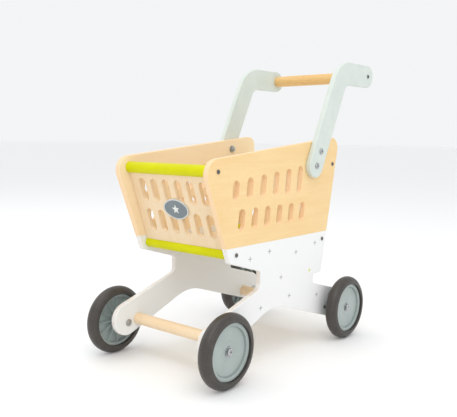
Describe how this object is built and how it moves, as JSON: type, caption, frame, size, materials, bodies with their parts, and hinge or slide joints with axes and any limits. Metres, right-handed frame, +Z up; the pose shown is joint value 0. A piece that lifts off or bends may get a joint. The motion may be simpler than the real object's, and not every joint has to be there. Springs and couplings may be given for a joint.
{
  "type": "shopping cart",
  "caption": "Child's push-along shopping cart: plywood side boards with legs, slatted basket, round cross rods, bent handle arms with a bar, and four rubber-tyred wheels on shoulder bolts.",
  "frame": {"origin": "middle of the cart's box on the floor it stands on", "axes": "+Z up; +Y towards the handle, so the cart is pushed towards -Y; +X is the side that the node names call right"},
  "size_m": [0.251, 0.46, 0.465],
  "materials": {
    "painted_board": "birch plywood, clear lacquer on the basket part and white paint with small grey plus marks on the legs",
    "natural_ply": "birch plywood, clear matt lacquer",
    "green_paint": "solid beech rod, yellow-green satin paint",
    "beech": "solid beech dowel, clear lacquer",
    "mint_paint": "plywood, pale mint grey satin paint",
    "badge_plastic": "printed oval plate, gloss",
    "tyre_rubber": "solid rubber, smooth and slightly glossy",
    "hub_plastic": "moulded plastic, satin grey",
    "black_plastic": "moulded plastic, matt",
    "screw_steel": "zinc-plated screw",
    "zinc_steel": "zinc-plated steel"
  },
  "bodies": {
    "cart": {"side_board_left": "painted_board", "side_board_right": "painted_board", "front_panel": "natural_ply", "rear_panel": "natural_ply", "basket_floor": "natural_ply", "badge": "badge_plastic", "front_top_rod": "green_paint", "front_bottom_rod": "green_paint", "rear_top_rod": "green_paint", "rear_bottom_rod": "green_paint", "front_leg_dowel": "beech", "rear_leg_dowel": "beech", "handle_arm_left": "mint_paint", "handle_arm_right": "mint_paint", "handle_bar": "beech", "rod_screws": "screw_steel", "handle_bar_screws": "screw_steel", "arm_bolts": "zinc_steel", "arm_washers": "zinc_steel", "arm_nuts": "zinc_steel", "axle_bolts": "zinc_steel", "axle_nuts": "zinc_steel", "axle_spacers": "black_plastic", "axle_washers": "zinc_steel"},
    "wheel_front_left": {"tyre_front_left": "tyre_rubber", "hub_front_left": "hub_plastic", "bush_front_left": "black_plastic"},
    "wheel_front_right": {"tyre_front_right": "tyre_rubber", "hub_front_right": "hub_plastic", "bush_front_right": "black_plastic"},
    "wheel_rear_left": {"tyre_rear_left": "tyre_rubber", "hub_rear_left": "hub_plastic", "bush_rear_left": "black_plastic"},
    "wheel_rear_right": {"tyre_rear_right": "tyre_rubber", "hub_rear_right": "hub_plastic", "bush_rear_right": "black_plastic"}
  },
  "joints": [
    {"name": "front_left_wheel_spin", "type": "hinge", "parent": "cart", "child": "wheel_front_left", "pos_m": [-0.115, -0.1775, 0.0525], "axis": [1, 0, 0], "continuous": true},
    {"name": "front_right_wheel_spin", "type": "hinge", "parent": "cart", "child": "wheel_front_right", "pos_m": [0.115, -0.1775, 0.0525], "axis": [1, 0, 0], "continuous": true},
    {"name": "rear_left_wheel_spin", "type": "hinge", "parent": "cart", "child": "wheel_rear_left", "pos_m": [-0.115, 0.133, 0.0525], "axis": [1, 0, 0], "continuous": true},
    {"name": "rear_right_wheel_spin", "type": "hinge", "parent": "cart", "child": "wheel_rear_right", "pos_m": [0.115, 0.133, 0.0525], "axis": [1, 0, 0], "continuous": true}
  ]
}
